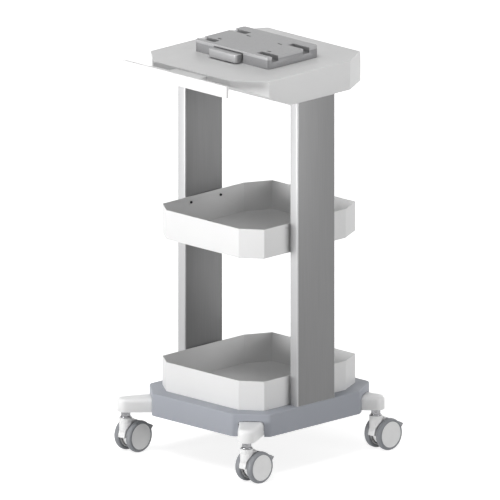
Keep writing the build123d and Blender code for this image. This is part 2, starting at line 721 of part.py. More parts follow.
def dock_plate():
    """Flat top plate with the channels and slots cut through."""
    plate = prism(dock_plan(), dock_body_top, dock_top)
    plate = fillet(plate.faces().sort_by(Axis.Z)[-1].edges(), DOCK_EDGE_RADIUS)
    plate -= latch_mouth()
    for cut in side_slots(dock_body_top) + small_slots(dock_body_top):
        plate -= cut
    return plate


def dock_screws():
    reach = TOP_HEIGHT + DOCK_SCREW_BITE - frame_bottom
    screw = socket_screw(DOCK_SCREW_RADIUS, DOCK_SCREW_HEAD_RADIUS, DOCK_SCREW_HEAD_HEIGHT, reach)
    return [Pos(x, y, frame_bottom) * Rot(180, 0, 0) * screw for x, y in dock_screw_points()]


def latch_slide():
    """Flat release slide under the dock plate, behind the neck of the grip."""
    return block((slide_left, slide_right), (neck_back, slide_back), (slide_bottom, slide_top))


def latch_grip():
    """Moulded pull grip in front of the dock, hollow from below, with a neck into its mouth."""
    back = DOCK_FRONT - GRIP_GAP
    front = back - GRIP_DEPTH
    bottom = TOP_HEIGHT + GRIP_LIFT
    plan = Rectangle(LATCH_RIGHT - LATCH_LEFT, GRIP_DEPTH)
    plan = fillet(plan.vertices().sort_by(Axis.Y)[:2], GRIP_CORNER_RADIUS)
    plan = Pos((LATCH_LEFT + LATCH_RIGHT) / 2, (front + back) / 2) * plan
    grip = prism(plan, bottom, grip_top)
    grip = fillet(grip.faces().sort_by(Axis.Z)[-1].edges().sort_by(Axis.Y)[:-1], GRIP_EDGE_RADIUS)
    grip -= prism(shrunk(plan, GRIP_WALL), bottom, grip_top - GRIP_WALL)
    neck = block((LATCH_LEFT, LATCH_RIGHT), (back, neck_back), (grip_top - NECK_HEIGHT, grip_top))
    room = block(
        (LATCH_LEFT + GRIP_WALL, LATCH_RIGHT - GRIP_WALL),
        (back, neck_back - GRIP_WALL),
        (grip_top - NECK_HEIGHT, grip_top - GRIP_WALL),
    )
    return grip + (neck - room)


def latch_springs():
    """Two return springs between the slide and the back of its pocket."""
    springs = []
    height = (slide_top + slide_bottom) / 2
    for x in SPRING_X:
        coil = Cylinder(SLIDE_THICKNESS / 2, SPRING_LENGTH - FACE_GAP)
        coil -= Cylinder(SLIDE_THICKNESS / 2 - SPRING_WIRE, SPRING_LENGTH)
        middle = slide_back + FACE_GAP + (SPRING_LENGTH - FACE_GAP) / 2
        springs.append(Pos(x, middle, height) * Rot(90, 0, 0) * coil)
    return springs


def about_axle(profile):
    """Turns a half profile, drawn as (distance along the axle, radius), about the axle."""
    return revolve(Plane.XY * profile, axis=Axis.X)


def caster_stem():
    """Plated stem: threaded shank up into the arm, collar, spindle down into the housing."""
    stem = rod(0, 0, STEM_RADIUS, ARM_BOTTOM, ARM_BOTTOM + STEM_REACH)
    stem += rod(0, 0, STEM_COLLAR_RADIUS, CASTER_NECK_TOP + FACE_GAP, ARM_BOTTOM)
    foot = CASTER_NECK_TOP - SPINDLE_REACH
    stem += rod(0, 0, STEM_RADIUS, foot, CASTER_NECK_TOP + FACE_GAP)
    return chamfer(stem.faces().sort_by(Axis.Z)[-1].edges(), 1.0)


def pedal_pivot():
    return CASTER_TRAIL + PEDAL_PIVOT_BACK, wheel_radius + PEDAL_PIVOT_UP


def caster_housing():
    """Moulded housing: round neck, fender between the wheels, disc around the axle."""
    half_fender = wheel_inner - FENDER_GAP
    fender_radius = CASTER_TRAIL + CASTER_NECK_RADIUS
    axle = (CASTER_TRAIL, wheel_radius)
    neck = rod(0, 0, CASTER_NECK_RADIUS, CASTER_NECK_FOOT, CASTER_NECK_TOP)
    groove = CASTER_NECK_TOP - NECK_GROOVE_DROP
    ring = rod(0, 0, CASTER_NECK_RADIUS + 1, groove - NECK_GROOVE_WIDTH, groove)
    neck -= ring - rod(0, 0, CASTER_NECK_RADIUS - NECK_GROOVE_DEPTH, groove - NECK_GROOVE_WIDTH, groove)
    neck = neck - Pos(0, axle[0], axle[1]) * Rot(0, 90, 0) * (
        Cylinder(wheel_radius + FENDER_CLEAR, 4 * WHEEL_WIDTH) - Cylinder(wheel_radius + FENDER_CLEAR, 2 * half_fender)
    )
    quarter = Circle(fender_radius) & (Pos(-fender_radius / 2, fender_radius / 2) * Rectangle(fender_radius, fender_radius))
    fender = extrude(Plane.YZ * Pos(*axle) * quarter, amount=half_fender, both=True)
    disc = extrude(Plane.YZ * Pos(*axle) * Circle(HOUSING_DISC_RADIUS), amount=HOUSING_DISC_WIDTH / 2, both=True)
    pivot = pedal_pivot()
    ear = extrude(
        Plane.YZ * Pos(*pivot) * Circle(PEDAL_BOSS_RADIUS + 1), amount=HOUSING_DISC_WIDTH / 2, both=True
    )
    body = neck + fender + disc + ear
    gap = PEDAL_LUG_WIDTH / 2 + FACE_GAP
    room = Pos(*pivot) * Circle(PEDAL_BOSS_RADIUS + 2)
    room += Pos(pivot[0] + PEDAL_BOSS_RADIUS, pivot[1] + 8) * Rectangle(4 * PEDAL_BOSS_RADIUS, 18)
    body -= extrude(Plane.YZ * room, amount=gap, both=True)
    body -= extrude(Plane.YZ * Pos(*pivot) * Circle(PEDAL_PIN_RADIUS + PIN_GAP), amount=HOUSING_DISC_WIDTH, both=True)
    body -= extrude(Plane.YZ * Pos(*axle) * Circle(AXLE_RADIUS + PIN_GAP), amount=HOUSING_DISC_WIDTH, both=True)
    body -= rod(0, 0, STEM_RADIUS + PIN_GAP, CASTER_NECK_TOP - SPINDLE_REACH - 2 * FACE_GAP, CASTER_NECK_TOP)
    return body


def caster_axle():
    half = wheel_outer - HUB_WEB - AXLE_END_GAP
    return Pos(0, CASTER_TRAIL, wheel_radius) * Rot(0, 90, 0) * Cylinder(AXLE_RADIUS, 2 * half)


def caster_tyre(side):
    """Crowned tread band around a hub rim."""
    middle = (wheel_inner + wheel_outer) / 2
    shoulder = wheel_radius - TYRE_SHOULDER_DROP
    with BuildSketch() as section:
        with BuildLine():
            a = (wheel_inner, hub_radius)
            b = (wheel_inner, shoulder)
            c = (wheel_outer, shoulder)
            d = (wheel_outer, hub_radius)
            Line(a, b)
            ThreePointArc(b, (middle, wheel_radius), c)
            Line(c, d)
            Line(d, a)
        make_face()
    tyre = about_axle(section.sketch)
    turn = Rot(0, 0, 180) if side < 0 else Rot(0, 0, 0)
    return Pos(0, CASTER_TRAIL, wheel_radius) * turn * tyre


def caster_hub(side):
    """Wheel centre: rim, outer web with a proud cap, bearing boss open to the inside."""
    cap = wheel_outer + HUB_CAP_PROUD
    boss_inner = wheel_inner + FACE_GAP
    with BuildSketch() as section:
        with BuildLine():
            Polyline(
                (boss_inner, AXLE_RADIUS + PIN_GAP),
                (boss_inner, HUB_BOSS_RADIUS),
                (wheel_outer - HUB_WEB, HUB_BOSS_RADIUS),
                (wheel_outer - HUB_WEB, hub_radius - HUB_RIM),
                (wheel_inner, hub_radius - HUB_RIM),
                (wheel_inner, hub_radius),
                (wheel_outer, hub_radius),
                (cap, hub_radius - HUB_CAP_PROUD * 2),
                (cap, 0),
                (wheel_outer - HUB_WEB, 0),
                (wheel_outer - HUB_WEB, AXLE_RADIUS + PIN_GAP),
                close=True,
            )
        make_face()
    hub = about_axle(section.sketch)
    turn = Rot(0, 0, 180) if side < 0 else Rot(0, 0, 0)
    return Pos(0, CASTER_TRAIL, wheel_radius) * turn * hub


def polar(radius, angle):
    """Point at a radius and angle about the wheel axle, in the (Y, Z) plane."""
    turn = math.radians(angle)
    return CASTER_TRAIL + radius * math.cos(turn), wheel_radius + radius * math.sin(turn)


def caster_pedal():
    """Brake pedal: curved guard over the wheels, rear toe tab, lug and pivot pin."""
    inner = wheel_radius + PEDAL_CLEAR
    outer = inner + PEDAL_THICKNESS
    middle_angle = (PEDAL_FRONT_ANGLE + PEDAL_REAR_ANGLE) / 2
    tip = (PEDAL_TIP_REACH, PEDAL_TIP_HEIGHT)
    with BuildSketch() as profile:
        with BuildLine():
            a = polar(inner, PEDAL_FRONT_ANGLE)
            b = polar(inner, PEDAL_REAR_ANGLE)
            d = polar(outer, PEDAL_REAR_ANGLE + 12)
            e = polar(outer, PEDAL_FRONT_ANGLE)
            ThreePointArc(a, polar(inner, middle_angle), b)
            Line(b, (tip[0] - 1.5, tip[1] - 1.2))
            Line((tip[0] - 1.5, tip[1] - 1.2), tip)
            Line(tip, d)
            ThreePointArc(d, polar(outer, middle_angle + 6), e)
            Line(e, a)
        make_face()
    band = extrude(Plane.YZ * profile.sketch, amount=PEDAL_WIDTH / 2, both=True)
    wide_y = polar(inner, PEDAL_WIDE_ANGLE)[0]
    length = wide_y - polar(outer, PEDAL_FRONT_ANGLE)[0]
    plan = Pos(0, wide_y - length / 2) * Rectangle(PEDAL_NECK_WIDTH, length + 4)
    tab = Rectangle(PEDAL_WIDTH, tip[0] - wide_y)
    tab = fillet(tab.vertices(), 5.0)
    plan += Pos(0, (wide_y + tip[0]) / 2) * tab
    band &= prism(plan, 0, CASTER_NECK_TOP + 10)
    pivot = pedal_pivot()
    lug = Pos(*pivot) * Circle(PEDAL_BOSS_RADIUS)
    top = polar(inner + 1, 66)
    lug += make_hull((Pos(*pivot) * Circle(PEDAL_BOSS_RADIUS - 1)).edges() + (Pos(*top) * Circle(2)).edges())
    body = band + extrude(Plane.YZ * lug, amount=PEDAL_LUG_WIDTH / 2, both=True)
    pin = Pos(*pivot) * Circle(PEDAL_PIN_RADIUS)
    return body + extrude(Plane.YZ * pin, amount=HOUSING_DISC_WIDTH / 2 - FACE_GAP, both=True)


def caster_places():
    for front, end in ((True, "front"), (False, "rear")):
        for side, name in ((-1, "left"), (1, "right")):
            y = FRONT_STEM_Y if front else REAR_STEM_Y
            yield f"{end}_{name}", Pos(side * STEM_X, y, 0)


def save(name, shape):
    """Writes one node; a list becomes separate solids side by side."""
    if isinstance(shape, list):
        shape = Compound([item for piece in shape for item in piece.solids()])
    export_step(shape, f"parts/{name}.step")


def casters():
    stem = caster_stem()
    housing = caster_housing()
    axle = caster_axle()
    pedal = caster_pedal()
    wheels = {name: (caster_tyre(side), caster_hub(side)) for side, name in ((-1, "left"), (1, "right"))}
    for name, place in caster_places():
        save(f"{name}_stem", place * stem)
        save(f"{name}_housing", place * housing)
        save(f"{name}_axle", place * axle)
        save(f"{name}_pedal", place * pedal)
        for wheel, (tyre, hub) in wheels.items():
            save(f"{name}_tyre_{wheel}", place * tyre)
            save(f"{name}_hub_{wheel}", place * hub)


def main():
    os.makedirs("parts", exist_ok=True)
    save("base_cover", base_cover())
    save("chassis", chassis())
    for front, end in ((True, "front"), (False, "rear")):
        for side, name in ((-1, "left"), (1, "right")):
            save(f"arm_{end}_{name}", arm(side, front))
    save("arm_bolts", arm_bolts())
    save("column_left", column(-1))
    save("column_right", column(1))
    save("column_screws", column_screws())
    save("lower_tray", lower_tray())
    save("tray_nuts", tray_nuts())
    save("mid_tray", mid_tray())
    save("mid_tray_spacers", mid_tray_spacers())
    save("mid_tray_screws", mid_tray_screws())
    save("worktop_cover", worktop_cover())
    save("worktop_pan", worktop_pan())
    save("worktop_frame", worktop_frame())
    save("worktop_screws", worktop_screws())
    save("push_bar", push_bar())
    save("push_bar_bracket", push_bar_bracket())
    save("push_bar_screws", push_bar_screws())
    save("dock_body", dock_body())
    save("dock_plate", dock_plate())
    save("dock_screws", dock_screws())
    save("latch_slide", latch_slide())
    save("latch_grip", latch_grip())
    save("latch_springs", latch_springs())
    casters()


main()
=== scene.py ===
from math import acos, atan2, cos, pi, radians, sin, sqrt

import bmesh
import bpy
from mathutils import Matrix, Vector


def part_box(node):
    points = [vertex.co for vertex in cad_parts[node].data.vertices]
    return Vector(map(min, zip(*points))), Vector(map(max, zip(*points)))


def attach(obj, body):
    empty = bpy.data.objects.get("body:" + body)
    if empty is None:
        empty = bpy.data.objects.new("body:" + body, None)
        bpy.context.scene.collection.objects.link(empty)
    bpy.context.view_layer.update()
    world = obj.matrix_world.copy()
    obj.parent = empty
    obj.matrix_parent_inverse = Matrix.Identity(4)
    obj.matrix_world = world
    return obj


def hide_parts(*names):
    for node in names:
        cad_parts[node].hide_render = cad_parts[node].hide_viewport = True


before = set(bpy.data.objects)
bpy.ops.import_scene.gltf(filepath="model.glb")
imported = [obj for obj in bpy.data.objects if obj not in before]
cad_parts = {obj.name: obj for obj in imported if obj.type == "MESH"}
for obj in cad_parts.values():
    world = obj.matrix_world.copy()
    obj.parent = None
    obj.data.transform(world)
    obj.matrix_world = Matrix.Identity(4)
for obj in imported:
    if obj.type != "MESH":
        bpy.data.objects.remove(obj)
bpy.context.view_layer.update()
scene = bpy.context.scene

# Camera: the photograph is a parallel view from the front right, a little from above.
# The height of the picture covers 1.15 m, and its middle looks at a point above the base.
VIEW_AZIMUTH = radians(45.0)
VIEW_ELEVATION = radians(14.98)
PICTURE_HEIGHT = 1.150
LOOK_AT = Vector((-0.01025, -0.01025, 0.4757))
CAMERA_DISTANCE = 4.0
towards_camera = Vector((
    sin(VIEW_AZIMUTH) * cos(VIEW_ELEVATION),
    -cos(VIEW_AZIMUTH) * cos(VIEW_ELEVATION),
    sin(VIEW_ELEVATION),
))
lens = bpy.data.cameras.new("photo_camera")
lens.type = "ORTHO"
lens.ortho_scale = PICTURE_HEIGHT
camera = bpy.data.objects.new("photo_camera", lens)
camera.location = LOOK_AT + CAMERA_DISTANCE * towards_camera
camera.rotation_euler = towards_camera.to_track_quat("Z", "Y").to_euler()
scene.collection.objects.link(camera)
scene.camera = camera
scene.view_settings.view_transform = "Standard"

# Studio: a white surround and four broad soft lamps: ahead, which is the strongest, above, right and behind.
# The surround is plain white where the camera or a reflection sees it, and dimmer as light.
AMBIENT = 0.20
SEEN_RAYS = ("Is Camera Ray", "Is Glossy Ray", "Is Transmission Ray")
# Each lamp's azimuth and height in degrees, its power, and its spread in degrees.
LAMPS = {
    "front_softbox": (-15.0, 0.0, 3.35, 20.0),
    "overhead_softbox": (0.0, 70.0, 1.30, 35.0),
    "right_softbox": (108.0, 0.0, 1.90, 36.0),
    "back_softbox": (200.0, 20.0, 0.50, 40.0),
}


def light_path_pick(nodes, links, kinds):
    """Output that is 1 for the named kinds of ray and 0 for the others."""
    path = nodes.new("ShaderNodeLightPath")
    total = path.outputs[kinds[0]]
    for kind in kinds[1:]:
        step = nodes.new("ShaderNodeMath")
        step.operation = "MAXIMUM"
        links.new(total, step.inputs[0])
        links.new(path.outputs[kind], step.inputs[1])
        total = step.outputs[0]
    return total


world = bpy.data.worlds.new("studio_surround")
world.use_nodes = True
scene.world = world
surround_nodes, surround_links = world.node_tree.nodes, world.node_tree.links
surround_nodes.clear()
seen_white = surround_nodes.new("ShaderNodeBackground")
seen_white.inputs["Strength"].default_value = 1.0
light_white = surround_nodes.new("ShaderNodeBackground")
light_white.inputs["Strength"].default_value = AMBIENT
for background in (seen_white, light_white):
    background.inputs["Color"].default_value = (1, 1, 1, 1)
surround_mix = surround_nodes.new("ShaderNodeMixShader")
seen = light_path_pick(surround_nodes, surround_links, SEEN_RAYS)
surround_links.new(seen, surround_mix.inputs[0])
surround_links.new(light_white.outputs[0], surround_mix.inputs[1])
surround_links.new(seen_white.outputs[0], surround_mix.inputs[2])
surround_out = surround_nodes.new("ShaderNodeOutputWorld")
surround_links.new(surround_mix.outputs[0], surround_out.inputs[0])

for name, (azimuth, height, power, spread_angle) in LAMPS.items():
    lamp_data = bpy.data.lights.new(name, "SUN")
    lamp_data.energy = power
    lamp_data.angle = radians(spread_angle)
    lamp = bpy.data.objects.new(name, lamp_data)
    turn, rise = radians(azimuth), radians(height)
    from_lamp = Vector((sin(turn) * cos(rise), -cos(turn) * cos(rise), sin(rise)))
    lamp.rotation_euler = from_lamp.to_track_quat("Z", "Y").to_euler()
    scene.collection.objects.link(lamp)

# Floor: a plain pale studio floor that reads white to the camera and keeps a faint contact shadow.
# It glows only where the camera or a reflection sees it, so that it lights the trolley as plain paint.
FLOOR_HALF = 6.0
FLOOR_COLOUR = (0.62, 0.62, 0.62, 1)
FLOOR_LIFT = 0.80
floor_mesh = bpy.data.meshes.new("floor")
floor_corners = [(x * FLOOR_HALF, y * FLOOR_HALF, 0) for x, y in ((-1, -1), (1, -1), (1, 1), (-1, 1))]
floor_mesh.from_pydata(floor_corners, [], [(0, 1, 2, 3)])
floor = bpy.data.objects.new("floor", floor_mesh)
scene.collection.objects.link(floor)
floor_paint = bpy.data.materials.new("studio_floor")
floor_paint.use_nodes = True
floor_nodes, floor_links = floor_paint.node_tree.nodes, floor_paint.node_tree.links
floor_nodes.clear()
floor_diffuse = floor_nodes.new("ShaderNodeBsdfDiffuse")
floor_diffuse.inputs["Color"].default_value = FLOOR_COLOUR
floor_glow = floor_nodes.new("ShaderNodeEmission")
floor_seen = light_path_pick(floor_nodes, floor_links, SEEN_RAYS)
floor_lift = floor_nodes.new("ShaderNodeMath")
floor_lift.operation = "MULTIPLY"
floor_lift.inputs[1].default_value = FLOOR_LIFT
floor_links.new(floor_seen, floor_lift.inputs[0])
floor_links.new(floor_lift.outputs[0], floor_glow.inputs["Strength"])
floor_sum = floor_nodes.new("ShaderNodeAddShader")
floor_links.new(floor_diffuse.outputs[0], floor_sum.inputs[0])
floor_links.new(floor_glow.outputs[0], floor_sum.inputs[1])
floor_out = floor_nodes.new("ShaderNodeOutputMaterial")
floor_links.new(floor_sum.outputs[0], floor_out.inputs["Surface"])
floor_mesh.materials.append(floor_paint)

# Chassis: the welded steel tray under the base cover that everything is bolted to.
# Black powder coat with a fine orange-peel skin and slightly uneven gloss.


def surface(name, colour, roughness, metallic=0.0, shine=0.5):
    """New shader with its constant values set on its own sockets."""
    material = bpy.data.materials.new(name)
    material.use_nodes = True
    tree = material.node_tree
    shader = tree.nodes["Principled BSDF"]
    shader.inputs["Base Color"].default_value = (*colour, 1)
    shader.inputs["Roughness"].default_value = roughness
    shader.inputs["Metallic"].default_value = metallic
    shader.inputs["Specular IOR Level"].default_value = shine
    return material, tree.nodes, tree.links, shader


def noise(nodes, links, scale, detail=3.0, stretch=(1, 1, 1)):
    """Noise on the piece's own coordinates, in features for each metre."""
    place = nodes.new("ShaderNodeTexCoord")
    mapping = nodes.new("ShaderNodeMapping")
    mapping.inputs["Scale"].default_value = stretch
    texture = nodes.new("ShaderNodeTexNoise")
    texture.inputs["Scale"].default_value = scale
    texture.inputs["Detail"].default_value = detail
    links.new(place.outputs["Object"], mapping.inputs["Vector"])
    links.new(mapping.outputs["Vector"], texture.inputs["Vector"])
    return texture.outputs["Fac"]


def spread(nodes, links, value, low, high):
    """Stretches the middle of a noise value over a range."""
    remap = nodes.new("ShaderNodeMapRange")
    remap.inputs["From Min"].default_value = 0.3
    remap.inputs["From Max"].default_value = 0.7
    remap.inputs["To Min"].default_value = low
    remap.inputs["To Max"].default_value = high
    links.new(value, remap.inputs["Value"])
    return remap.outputs["Result"]


def shades(nodes, links, value, dark, light):
    """Colour that moves between two shades with a noise value."""
    ramp = nodes.new("ShaderNodeValToRGB")
    ramp.color_ramp.elements[0].position = 0.3
    ramp.color_ramp.elements[1].position = 0.7
    ramp.color_ramp.elements[0].color = (*dark, 1)
    ramp.color_ramp.elements[1].color = (*light, 1)
    links.new(value, ramp.inputs["Fac"])
    return ramp.outputs["Color"]


def relief(nodes, links, shader, value, depth, strength=1.0):
    """Bump of a real depth in metres."""
    bump = nodes.new("ShaderNodeBump")
    bump.inputs["Distance"].default_value = depth
    bump.inputs["Strength"].default_value = strength
    links.new(value, bump.inputs["Height"])
    links.new(bump.outputs["Normal"], shader.inputs["Normal"])


def dress(material, *names):
    """Gives CAD pieces their finish."""
    for name in names:
        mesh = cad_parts[name].data
        mesh.materials.clear()
        mesh.materials.append(material)


CHASSIS_BLACK = (0.030, 0.030, 0.033)
chassis_coat, n, l, s = surface("chassis_black_coat", CHASSIS_BLACK, 0.45)
l.new(spread(n, l, noise(n, l, 60), 0.38, 0.55), s.inputs["Roughness"])
relief(n, l, s, noise(n, l, 900), 0.00008, 0.5)
dress(chassis_coat, "chassis", "worktop_frame")

# Base cover: one blue-grey moulding over the chassis, with rounded corners and arm notches.
# Injection-moulded plastic with a fine spark-eroded grain; its edges are softly rounded.
COVER_DARK = (0.352, 0.368, 0.408)
COVER_LIGHT = (0.366, 0.382, 0.422)
COVER_EDGE = 0.0012
SHARP_ANGLE = radians(40.0)
# Degrees up to which neighbouring faces shade as one, for curved pieces and for flat-sided ones.
SOFT_SHADING = 35.0
CRISP_SHADING = 20.0
WELD_DISTANCE = 2e-6
FLAT_ANGLE = radians(0.5)


def joined_copy(node, name):
    """Mesh of a CAD piece with its loose triangles joined into whole faces."""
    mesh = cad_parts[node].data.copy()
    mesh.name = name
    mesh.materials.clear()
    work = bmesh.new()
    work.from_mesh(mesh)
    bmesh.ops.remove_doubles(work, verts=work.verts, dist=WELD_DISTANCE)
    bmesh.ops.dissolve_limit(work, angle_limit=FLAT_ANGLE, verts=work.verts, edges=work.edges)
    work.to_mesh(mesh)
    work.free()
    return mesh


def bevelled(piece, edge, steps):
    """Rounds a piece's sharp edges with a modifier."""
    bevel = piece.modifiers.new("rounded_edges", "BEVEL")
    bevel.width = edge
    bevel.segments = steps
    bevel.limit_method = "ANGLE"
    bevel.angle_limit = SHARP_ANGLE
    return piece


def settle(piece, material, body, smooth=SOFT_SHADING):
    """Turns a piece's modifiers into plain mesh, then gives it its finish and body."""
    view = bpy.context.evaluated_depsgraph_get()
    view.update()
    mesh = bpy.data.meshes.new_from_object(piece.evaluated_get(view))
    piece.modifiers.clear()
    piece.data = mesh
    mesh.materials.clear()
    mesh.materials.append(material)
    mesh.shade_smooth()
    mesh.set_sharp_from_angle(angle=radians(smooth))
    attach(piece, body)
    return piece


def rounded(node, edge, material, body, steps=3, smooth=SOFT_SHADING):
    """Finished copy of a CAD piece whose sharp edges are rounded, in place of the plain one."""
    piece = bpy.data.objects.new(node + "_finish", joined_copy(node, node + "_finish"))
    scene.collection.objects.link(piece)
    bevelled(piece, edge, steps)
    settle(piece, material, body, smooth)
    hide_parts(node)
    return piece


cover_plastic, n, l, s = surface("base_cover_plastic", COVER_DARK, 0.5, shine=0.22)
l.new(shades(n, l, noise(n, l, 9), COVER_DARK, COVER_LIGHT), s.inputs["Base Color"])
l.new(spread(n, l, noise(n, l, 35), 0.42, 0.52), s.inputs["Roughness"])
relief(n, l, s, noise(n, l, 1600), 0.00006, 0.6)
rounded("base_cover", COVER_EDGE, cover_plastic, "cart", smooth=CRISP_SHADING)

# Caster arms: four die-cast arms, bolted up under the chassis and coated white.
# Thick coat over a casting: a slow waviness under a fine peel.
# Their feet are drawn up by a few millimetres, which leaves the stem's hexagon in view.
ARM_DARK = (0.87, 0.87, 0.87)
ARM_LIGHT = (0.89, 0.89, 0.89)
ARM_EDGE = 0.0015
arm_coat, n, l, s = surface("arm_white_coat", ARM_LIGHT, 0.35)
l.new(shades(n, l, noise(n, l, 12), ARM_DARK, ARM_LIGHT), s.inputs["Base Color"])
l.new(spread(n, l, noise(n, l, 50), 0.30, 0.42), s.inputs["Roughness"])
relief(n, l, s, noise(n, l, 700, 2.0), 0.00007, 0.5)
FOOT_BEND = 0.120
FOOT_SQUEEZE = 0.75
for arm in ("arm_front_left", "arm_front_right", "arm_rear_left", "arm_rear_right"):
    casting = rounded(arm, ARM_EDGE, arm_coat, "cart")
    for vertex in casting.data.vertices:
        if vertex.co.z < FOOT_BEND:
            vertex.co.z = FOOT_BEND - (FOOT_BEND - vertex.co.z) * FOOT_SQUEEZE

# Fasteners: zinc-plated socket screws and nuts, mostly hidden, the axles and the latch's steel parts.
# Plated steel with a faint mottle in its shine.
ZINC_DARK = (0.52, 0.53, 0.55)
ZINC_LIGHT = (0.64, 0.65, 0.67)
CASTERS = ("front_left", "front_right", "rear_left", "rear_right")
zinc, n, l, s = surface("zinc_plate", ZINC_LIGHT, 0.32, 1.0)
l.new(shades(n, l, noise(n, l, 260), ZINC_DARK, ZINC_LIGHT), s.inputs["Base Color"])
l.new(spread(n, l, noise(n, l, 400), 0.25, 0.42), s.inputs["Roughness"])
relief(n, l, s, noise(n, l, 2500), 0.00003, 0.4)
dress(zinc, "arm_bolts", "column_screws", "tray_nuts", "worktop_screws", "push_bar_screws", "dock_screws")
dress(zinc, "latch_slide", "latch_springs")
dress(zinc, *[caster + "_axle" for caster in CASTERS])

# Caster stems: turned steel pins held in the arms, with a hexagon over a flange on the caster's neck.
# Dull chrome plate with the finest turning marks around the axis.
CHROME = (0.30, 0.30, 0.31)
chrome, n, l, s = surface("stem_chrome", CHROME, 0.12, 1.0)
l.new(spread(n, l, noise(n, l, 90, 2.0, (1, 1, 40)), 0.08, 0.2), s.inputs["Roughness"])
relief(n, l, s, noise(n, l, 60, 1.0, (1, 1, 60)), 0.00002, 0.5)
STEM_EDGE = 0.0005
HEXAGON_EDGE = 0.0003
HEXAGON_TURN = radians(15.0)
FLANGE_SIDES = 48
STEM_HEXAGON = 0.0110
STEM_FLANGE = 0.0125
FLANGE_LOW = 0.0844
FLANGE_HIGH = 0.0870
HEXAGON_HIGH = 0.0968


def upright(work, centre, radius, low, high, sides, turn=0.0):
    """Adds a closed upright prism or rod to a mesh in work."""
    place = Matrix.Translation((centre[0], centre[1], (low + high) / 2)) @ Matrix.Rotation(turn, 4, "Z")
    bmesh.ops.create_cone(
        work, cap_ends=True, segments=sides, radius1=radius, radius2=radius, depth=high - low, matrix=place,
    )


def made(name, work, edge=0.0):
    """Object from a mesh in work, with its edges rounded where an edge size is given."""
    bmesh.ops.recalc_face_normals(work, faces=work.faces)
    mesh = bpy.data.meshes.new(name)
    work.to_mesh(mesh)
    work.free()
    piece = bpy.data.objects.new(name, mesh)
    scene.collection.objects.link(piece)
    return bevelled(piece, edge, 2) if edge else piece


for caster in CASTERS:
    rounded(caster + "_stem", STEM_EDGE, chrome, "cart", steps=2)
    low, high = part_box(caster + "_stem")
    middle = ((low.x + high.x) / 2, (low.y + high.y) / 2)
    work = bmesh.new()
    upright(work, middle, STEM_HEXAGON, FLANGE_HIGH, HEXAGON_HIGH, 6, HEXAGON_TURN)
    upright(work, middle, STEM_FLANGE, FLANGE_LOW, FLANGE_HIGH, FLANGE_SIDES)
    settle(made(caster + "_stem_hexagon", work, HEXAGON_EDGE), chrome, "cart")

# Caster housings: white mouldings with a round neck, a grooved ring and a fender between the wheels.
# Glass-filled nylon, satin, with the grain of its mould.
HOUSING_WHITE = (0.87, 0.87, 0.87)
HOUSING_EDGE = 0.0009
housing_nylon, n, l, s = surface("housing_nylon", HOUSING_WHITE, 0.38)
l.new(spread(n, l, noise(n, l, 70), 0.33, 0.45), s.inputs["Roughness"])
relief(n, l, s, noise(n, l, 1800), 0.00004, 0.5)
for caster in CASTERS:
    rounded(caster + "_housing", HOUSING_EDGE, housing_nylon, caster + "_swivel")

# Tyres: two soft grey bands on each caster, moulded on the wheel centres.
# Polyurethane with a crowned tread and rounded shoulders, matt and slightly mottled.
TREAD_DARK = (0.238, 0.246, 0.262)
TREAD_LIGHT = (0.260, 0.268, 0.287)
LATHE_STEPS = 112
ON_AXIS = 1e-6


def lathe(name, profile, centre, steps=LATHE_STEPS):
    """Closed solid turned about an axle along X, from an outline of (along, radius) points."""
    work = bmesh.new()
    rings = []
    for along, radius in profile:
        if radius < ON_AXIS:
            rings.append([work.verts.new((centre[0] + along, centre[1], centre[2]))])
            continue
        ring = []
        for step in range(steps):
            turn = 2 * pi * step / steps
            ring.append(work.verts.new((
                centre[0] + along,
                centre[1] + radius * cos(turn),
                centre[2] + radius * sin(turn),
            )))
        rings.append(ring)
    pairs = list(zip(rings, rings[1:]))
    if len(rings[0]) > 1 or len(rings[-1]) > 1:
        pairs.append((rings[-1], rings[0]))
    for first, second in pairs:
        for step in range(steps):
            after = (step + 1) % steps
            if len(first) == 1 and len(second) == 1:
                continue
            if len(first) == 1:
                work.faces.new((first[0], second[step], second[after]))
            elif len(second) == 1:
                work.faces.new((first[step], first[after], second[0]))
            else:
                work.faces.new((first[step], first[after], second[after], second[step]))
    return made(name, work)


tyre_rubber, n, l, s = surface("tyre_polyurethane", TREAD_LIGHT, 0.5)
l.new(shades(n, l, noise(n, l, 45), TREAD_DARK, TREAD_LIGHT), s.inputs["Base Color"])
l.new(spread(n, l, noise(n, l, 120), 0.42, 0.6), s.inputs["Roughness"])
relief(n, l, s, noise(n, l, 1500), 0.00005, 0.5)


def wheel_frame(caster, side):
    """Centre of a wheel's inner face, the direction of its outer face, and its width."""
    low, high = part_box(f"{caster}_tyre_{side}")
    outward = 1 if side == "right" else -1
    inner_x = low.x if side == "right" else high.x
    return Vector((inner_x, (low.y + high.y) / 2, (low.z + high.z) / 2)), outward, high.x - low.x


WHEEL_RADIUS = 0.0375
HUB_SEAT = 0.0305
SHOULDER = 0.0351
SIDE_DROP = 0.0018
SEAT_CHAMFER = (0.0006, 0.0008)
TREAD_INSET = 0.0005
TREAD_STEPS = 12
TREAD_CURVE = 2.6
TREAD_SHADING = 50.0


def tyre_profile(outward, width):
    """Tread crown, rounded shoulders, and the sloped ring next to the wheel centre."""
    half = width / 2
    inset, rise = SEAT_CHAMFER
    side = [(inset, HUB_SEAT), (0.0, HUB_SEAT + rise), (0.0, SHOULDER - SIDE_DROP)]
    tread = []
    for step in range(TREAD_STEPS + 1):
        t = -1 + 2 * step / TREAD_STEPS
        crown = WHEEL_RADIUS - (WHEEL_RADIUS - SHOULDER) * abs(t) ** TREAD_CURVE
        tread.append((half + t * (half - TREAD_INSET), crown))
    points = side + tread + [(width - along, radius) for along, radius in reversed(side)]
    return [(outward * along, radius) for along, radius in points]


